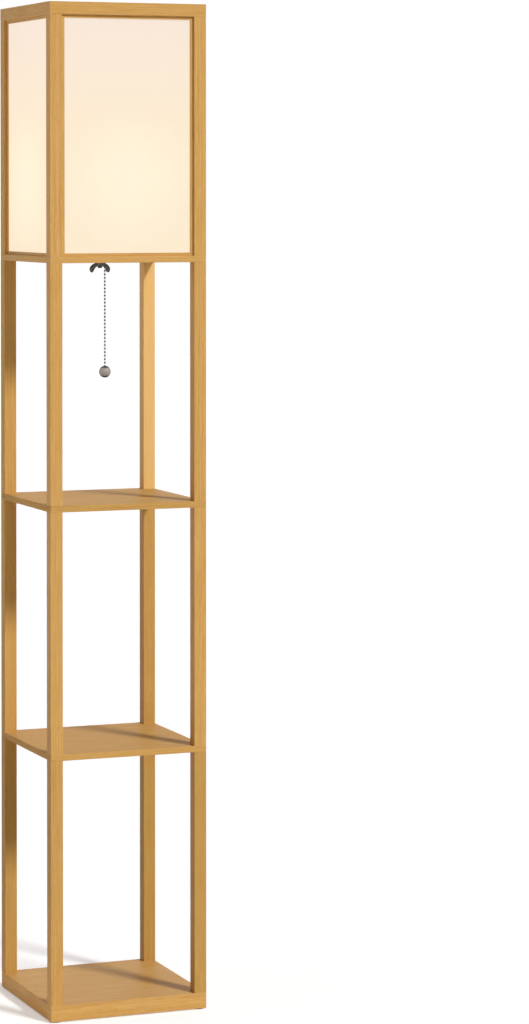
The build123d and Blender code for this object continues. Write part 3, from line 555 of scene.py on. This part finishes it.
def wing_ear(axis, seat):
    """One ear, extruded station by station from a block inside the hub, then smoothed."""
    out, down, turn, width, thickness = EAR_STATIONS[0]
    deselect_all()
    bpy.ops.mesh.primitive_cube_add(
        size=1, location=(axis.x + out * MM, axis.y, seat - down * MM),
        scale=(EAR_BLOCK_MM * MM, thickness * MM, width * MM))
    ear = bpy.context.object
    place_applied(ear)
    bpy.ops.object.mode_set(mode="EDIT")
    pick(ear, "faces", lambda face: face.normal.x > 0.9)
    at = Vector((axis.x + (out + EAR_BLOCK_MM / 2) * MM, axis.y, seat - down * MM))
    for next_out, next_down, next_turn, next_width, next_thickness in EAR_STATIONS[1:]:
        there = Vector((axis.x + next_out * MM, axis.y, seat - next_down * MM))
        bpy.ops.mesh.extrude_region_move(TRANSFORM_OT_translate={"value": there - at})
        bpy.ops.transform.rotate(
            value=math.radians(turn - next_turn), orient_axis="Y", center_override=there)
        narrowing = next_width / width
        bpy.ops.transform.resize(
            value=(narrowing, next_thickness / thickness, narrowing), center_override=there)
        at, turn, width, thickness = there, next_turn, next_width, next_thickness
    bpy.ops.object.mode_set(mode="OBJECT")
    modified(ear, "SUBSURF", levels=3, render_levels=3)
    return ear


def hub_blank(axis, seat):
    """The hub before it is bored: it tapers down from the seat and its lower rim is rounded."""
    height = HUB_HEIGHT + SEAT_SPARE
    deselect_all()
    bpy.ops.mesh.primitive_cylinder_add(
        vertices=64, radius=SEAT_RADIUS, depth=height,
        location=(axis.x, axis.y, seat + SEAT_SPARE - height / 2))
    hub = bpy.context.object
    place_applied(hub)
    bpy.ops.object.mode_set(mode="EDIT")
    pick(hub, "faces", lambda face: face.normal.z < -0.9)
    taper = CROWN_RADIUS / SEAT_RADIUS
    bpy.ops.transform.resize(
        value=(taper, taper, 1), center_override=(axis.x, axis.y, seat - HUB_HEIGHT))
    bpy.ops.mesh.bevel(offset=CROWN_ROUND, segments=4)
    bpy.ops.object.mode_set(mode="OBJECT")
    return hub


def wing_nut():
    low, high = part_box("wing_nut")
    axis = (low + high) / 2
    seat = high.z
    hub = hub_blank(axis, seat)
    ear = wing_ear(axis, seat)
    take(ear)
    bpy.ops.object.duplicate()
    other_ear = bpy.context.object
    bpy.ops.transform.rotate(value=math.pi, orient_axis="Z", center_override=(axis.x, axis.y, seat))
    place_applied(other_ear)
    take(ear, other_ear, hub)
    bpy.ops.object.join()
    nut = bpy.context.object
    nut.name = "wing_nut_casting"
    modified(nut, "REMESH", mode="VOXEL", voxel_size=CAST_GRAIN)
    modified(nut, "SMOOTH", factor=0.5, iterations=7)
    bpy.ops.object.mode_set(mode="EDIT")
    bpy.ops.mesh.select_all(action="SELECT")
    bpy.ops.mesh.bisect(plane_co=(0, 0, seat), plane_no=(0, 0, 1), use_fill=True, clear_outer=True)
    bpy.ops.object.mode_set(mode="OBJECT")

    deselect_all()
    bpy.ops.mesh.primitive_cylinder_add(
        vertices=64, radius=BORE_RADIUS, depth=4 * HUB_HEIGHT, location=(axis.x, axis.y, seat))
    drill = bpy.context.object
    place_applied(drill)
    bpy.ops.object.mode_set(mode="EDIT")
    bpy.ops.mesh.select_all(action="SELECT")
    for level, keep_out in ((seat - HUB_HEIGHT, -1), (seat, 1)):
        bpy.ops.mesh.bisect(plane_co=(0, 0, level), plane_no=(0, 0, 1))
        bpy.ops.mesh.select_all(action="SELECT")
        bpy.ops.mesh.bisect(plane_co=(0, 0, level - keep_out * BORE_CHAMFER), plane_no=(0, 0, 1))
        bpy.ops.mesh.select_all(action="SELECT")
    flare = (BORE_RADIUS + BORE_CHAMFER) / BORE_RADIUS
    for level in (seat - HUB_HEIGHT, seat):
        pick(drill, "verts", lambda vert: abs(vert.co.z - level) < NEAR)
        bpy.ops.transform.resize(value=(flare, flare, 1), center_override=(axis.x, axis.y, level))
    for end in (-1, 1):
        pick(drill, "verts", lambda vert: (vert.co.z - seat + HUB_HEIGHT / 2) * end > HUB_HEIGHT)
        bpy.ops.transform.resize(value=(flare, flare, 1), center_override=(axis.x, axis.y, seat))
    bpy.ops.object.mode_set(mode="OBJECT")
    modified(nut, "BOOLEAN", operation="DIFFERENCE", object=drill, solver="EXACT")
    bpy.data.objects.remove(drill)
    take(nut)
    bpy.ops.object.shade_smooth_by_angle(angle=METAL_CREASE)
    nut.data.materials.clear()
    nut.data.materials.append(finishes["dark_steel"])
    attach(nut, "wing_nut")
    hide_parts("wing_nut")


wing_nut()


# --- lampholder bolt ------------------------------------------------------------------------------
# A hex bolt in dark grey-black steel. Its thread is a rolled ridge wound on the core, with the lead cut at
# the end.
BOLT_RADIUS = 4 * MM
BOLT_CORE_RADIUS = 3.35 * MM
BOLT_PITCH = 1.25 * MM
BOLT_HEAD_HEIGHT = 5.3 * MM
BOLT_HEAD_RADIUS = 7.5 * MM      # across the corners
BOLT_LEAD = 1 * MM
BOLT_PLAIN = 6 * MM              # unthreaded neck under the head
BOLT_RUNOUT = 0.6 * MM           # where the neck narrows to the core
BOLT_HEAD_BEVEL = 0.7 * MM
BOLT_END_BEVEL = 0.6 * MM
BOLT_OVERLAP = 0.2 * MM          # the core reaches this far into the head


def threaded_bolt():
    low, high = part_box("lampholder_bolt")
    axis = (low + high) / 2
    neck = high.z - BOLT_HEAD_HEIGHT
    deselect_all()
    bpy.ops.mesh.primitive_cylinder_add(
        vertices=6, radius=BOLT_HEAD_RADIUS, depth=BOLT_HEAD_HEIGHT,
        location=(axis.x, axis.y, neck + BOLT_HEAD_HEIGHT / 2))
    head = bpy.context.object
    place_applied(head)
    bpy.ops.object.mode_set(mode="EDIT")
    pick(head, "faces", lambda face: face.normal.z > 0.9)
    bpy.ops.mesh.bevel(offset=BOLT_HEAD_BEVEL, segments=2)
    bpy.ops.object.mode_set(mode="OBJECT")

    core_low, core_high = low.z, neck + BOLT_OVERLAP
    neck_end = neck - BOLT_PLAIN
    deselect_all()
    bpy.ops.mesh.primitive_cylinder_add(
        vertices=48, radius=BOLT_CORE_RADIUS, depth=core_high - core_low,
        location=(axis.x, axis.y, (core_low + core_high) / 2))
    core = bpy.context.object
    place_applied(core)
    bpy.ops.object.mode_set(mode="EDIT")
    pick(core, "faces", lambda face: face.normal.z < -0.9)
    bpy.ops.mesh.bevel(offset=BOLT_END_BEVEL, segments=3)
    bpy.ops.mesh.select_all(action="SELECT")
    bpy.ops.mesh.bisect(plane_co=(0, 0, neck_end), plane_no=(0, 0, 1))
    bpy.ops.mesh.select_all(action="SELECT")
    bpy.ops.mesh.bisect(plane_co=(0, 0, neck_end + BOLT_RUNOUT), plane_no=(0, 0, 1))
    pick(core, "verts", lambda vert: vert.co.z > neck_end + BOLT_RUNOUT - NEAR)
    swell = BOLT_RADIUS / BOLT_CORE_RADIUS
    bpy.ops.transform.resize(value=(swell, swell, 1), center_override=(axis.x, axis.y, neck))
    bpy.ops.object.mode_set(mode="OBJECT")

    deselect_all()
    bpy.ops.mesh.primitive_circle_add(
        vertices=4, radius=0.5 * BOLT_PITCH, fill_type="NGON",
        location=(BOLT_RADIUS - 0.5 * BOLT_PITCH, 0, 0), rotation=(math.radians(90), 0, 0))
    ridge = bpy.context.object
    place_applied(ridge)
    thread_low = low.z + BOLT_LEAD
    turns = (neck_end - thread_low) / BOLT_PITCH
    modified(ridge, "SCREW", axis="Z", angle=2 * math.pi, screw_offset=BOLT_PITCH,
             iterations=math.floor(turns), steps=32, render_steps=32, use_merge_vertices=False)
    ridge.location = (axis.x, axis.y, thread_low)
    place_applied(ridge)
    take(head, ridge, core)
    bpy.ops.object.join()
    bolt = bpy.context.object
    bolt.name = "threaded_bolt"
    take(bolt)
    bpy.ops.object.shade_smooth_by_angle(angle=METAL_CREASE)
    bolt.data.materials.clear()
    bolt.data.materials.append(finishes["black_steel"])
    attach(bolt, "tower")
    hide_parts("lampholder_bolt")


# --- felt pads ------------------------------------------------------------------------------------
# Pads cut from pressed felt: the lower rim has worn round, and the face is matted and uneven.
PAD_RADIUS = 9 * MM
PAD_FLUFF = 0.12 * MM
PAD_RIM_SHARE = 0.45             # how much of the pad's thickness its lower rim is rounded by
PAD_RINGS = 4                    # rings of faces on each flat side
PAD_RING_WIDTH = 0.22 * PAD_RADIUS


def felt_pads():
    low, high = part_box("foot_pads")
    thickness = high.z - low.z
    deselect_all()
    bpy.ops.mesh.primitive_cylinder_add(vertices=64, radius=PAD_RADIUS, depth=thickness)
    pattern = bpy.context.object
    bpy.ops.object.mode_set(mode="EDIT")
    pick(pattern, "faces", lambda face: face.normal.z < -0.9)
    bpy.ops.mesh.bevel(offset=PAD_RIM_SHARE * thickness, segments=3)
    for _ in range(PAD_RINGS):
        pick(pattern, "faces", lambda face: abs(face.normal.z) > 0.9 and len(face.verts) > 4)
        bpy.ops.mesh.inset(thickness=PAD_RING_WIDTH)
    bpy.ops.mesh.select_all(action="SELECT")
    bpy.ops.mesh.subdivide(number_cuts=1)
    bpy.ops.object.mode_set(mode="OBJECT")
    chance = random.Random("felt")
    for vert in pattern.data.vertices:
        if vert.co.z < thickness / 2 - NEAR:
            vert.co.xy *= 1 - chance.uniform(0, PAD_FLUFF / PAD_RADIUS)
            vert.co.z = max(vert.co.z + chance.uniform(-PAD_FLUFF, PAD_FLUFF) / 2, -thickness / 2)
    for number, (x_side, y_side) in enumerate(((-1, -1), (1, -1), (1, 1), (-1, 1)), start=1):
        take(pattern)
        bpy.ops.object.duplicate()
        pad = bpy.context.object
        pad.name = f"felt_pad_{number}"
        pad.rotation_euler.z = math.radians(90 * number)
        reach = Vector((high.x, high.y)) - Vector((PAD_RADIUS, PAD_RADIUS))
        pad.location = (x_side * reach.x, y_side * reach.y, low.z + thickness / 2)
        place_applied(pad)
        bpy.ops.object.shade_smooth_by_angle(angle=SOFT_CREASE)
        pad.data.materials.append(finishes["felt"])
        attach(pad, "tower")
        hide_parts("foot_pads")
    bpy.data.objects.remove(pattern)


# --- return spring --------------------------------------------------------------------------------
# The coil of drawn wire that lifts the plunger again. On the lamp it shortens as the chain is pulled; this
# coil keeps one length.
SPRING_WIRE_RADIUS = 0.25 * MM
SPRING_TURNS = 6


def coil_spring():
    low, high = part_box("return_spring")
    axis = (low + high) / 2
    height = high.z - low.z
    deselect_all()
    bpy.ops.mesh.primitive_circle_add(
        vertices=12, radius=SPRING_WIRE_RADIUS,
        location=((high.x - low.x) / 2 - SPRING_WIRE_RADIUS, 0, 0), rotation=(math.radians(90), 0, 0))
    coil = bpy.context.object
    coil.name = "coil_spring"
    place_applied(coil)
    rise = (height - 2 * SPRING_WIRE_RADIUS) / SPRING_TURNS
    modified(coil, "SCREW", axis="Z", angle=2 * math.pi, screw_offset=rise,
             iterations=SPRING_TURNS, steps=40, render_steps=40, use_merge_vertices=False)
    bpy.ops.object.mode_set(mode="EDIT")
    bpy.ops.mesh.select_all(action="SELECT")
    bpy.ops.mesh.fill_holes(sides=0)
    bpy.ops.mesh.select_all(action="SELECT")
    bpy.ops.mesh.normals_make_consistent(inside=False)
    bpy.ops.object.mode_set(mode="OBJECT")
    coil.location = (axis.x, axis.y, low.z + SPRING_WIRE_RADIUS)
    place_applied(coil)
    bpy.ops.object.shade_smooth_by_angle(angle=SOFT_CREASE)
    coil.data.materials.append(finishes["spring_steel"])
    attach(coil, "tower")
    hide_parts("return_spring")
    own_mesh(coil)


threaded_bolt()
felt_pads()
coil_spring()


# --- studio and camera ----------------------------------------------------------------------------
HIGH_LAMP = (Vector((-1, 2.21, -1.8)), 2.66, math.radians(10))       # from the front right
BACK_LAMP = (Vector((-0.35, -1, -0.12)), 0.7, math.radians(70))      # faint, from behind
STRIP_PLACE = (-0.45, -0.07, 1.52)          # a tall soft strip close to the left side
STRIP_SIZE = (0.24, 2.0)
STRIP_POWER = 0.88
STRIP_TINT = "#FFF3DF"
LOW_PLACE = (-0.32, -0.02, 0.032)           # a small warm one by the floor, for the base's left edge
LOW_SIZE = (0.4, 0.05)
LOW_POWER = 0.1
LOW_TINT = "#FFE6BC"
ROOM_LIGHT = 0.21
ROOM_TINT = "#FFECDF"                       # pale walls and floor give back slightly warm light
FLOOR_SIZE = 40
CAMERA_PLACE = (-1.7666, -5.1500, 1.3057)
CAMERA_YAW = math.radians(21.687)           # to the right of straight ahead
CAMERA_PITCH = math.radians(1.116)          # down
CAMERA_LENS = 118.772
CAMERA_SHIFT = -0.25


def seen_directly(tree):
    """1 for what the camera sees, straight or in gloss or glass, and 0 for light on the object."""
    path = add(tree, "LightPath", {}).node.outputs
    shiny = add(tree, "Math", {0: path["Is Glossy Ray"], 1: path["Is Transmission Ray"]}, operation="MAXIMUM")
    return add(tree, "Math", {0: path["Is Camera Ray"], 1: shiny}, operation="MAXIMUM")


def hang(lamp, place, direction):
    lamp_object = bpy.data.objects.new(lamp.name, lamp)
    lamp_object.location = place
    lamp_object.rotation_euler = direction.to_track_quat("-Z", "Y").to_euler()
    bpy.context.scene.collection.objects.link(lamp_object)
    return lamp_object


def light_studio():
    """Even room light, a high lamp, a faint one behind and a soft strip, over a pale floor."""
    world = bpy.data.worlds.new("studio")
    bpy.context.scene.world = world
    world.use_nodes = True
    tree = world.node_tree
    strength = add(tree, "MapRange", {"Value": seen_directly(tree), 3: ROOM_LIGHT, 4: 1})
    tint = add(tree, "Mix", {0: seen_directly(tree), 6: colour(ROOM_TINT), 7: (1, 1, 1, 1)}, 2,
               data_type="RGBA")
    wire(tree, tree.nodes["Background"], {"Color": tint, "Strength": strength})

    for name, (direction, power, spread) in {"high_lamp": HIGH_LAMP, "back_lamp": BACK_LAMP}.items():
        lamp = bpy.data.lights.new(name, "SUN")
        lamp.energy = power
        lamp.angle = spread
        hang(lamp, (0, 0, 3), direction).visible_glossy = name == "high_lamp"
    strips = {"strip_light": (STRIP_PLACE, STRIP_SIZE, STRIP_POWER, STRIP_TINT),
              "low_light": (LOW_PLACE, LOW_SIZE, LOW_POWER, LOW_TINT)}
    for name, (place, size, power, tint) in strips.items():
        strip = bpy.data.lights.new(name, "AREA")
        strip.shape = "RECTANGLE"
        strip.size, strip.size_y = size
        strip.energy = power
        strip.color = colour(tint)[:3]
        hang(strip, place, Vector((1, 0, 0))).visible_camera = False

    deselect_all()
    bpy.ops.mesh.primitive_plane_add(size=FLOOR_SIZE)
    floor = bpy.context.object
    floor.name = "floor"
    material, tree, shader = blank("pale_floor")
    wire(tree, shader, {
        "Base Color": colour("#E6E8EC"),
        "Roughness": 0.9,
        "Emission Color": (1, 1, 1, 1),
        "Emission Strength": add(tree, "MapRange", {"Value": seen_directly(tree), 4: 0.38}),
    })
    floor.data.materials.append(material)


def place_camera():
    data = bpy.data.cameras.new("camera")
    data.lens = CAMERA_LENS
    data.shift_y = CAMERA_SHIFT
    camera = bpy.data.objects.new("camera", data)
    camera.location = CAMERA_PLACE
    camera.rotation_euler = (math.radians(90) - CAMERA_PITCH, 0, -CAMERA_YAW)
    bpy.context.scene.collection.objects.link(camera)
    bpy.context.scene.camera = camera


light_studio()
place_camera()
bpy.context.scene.view_settings.view_transform = "Standard"
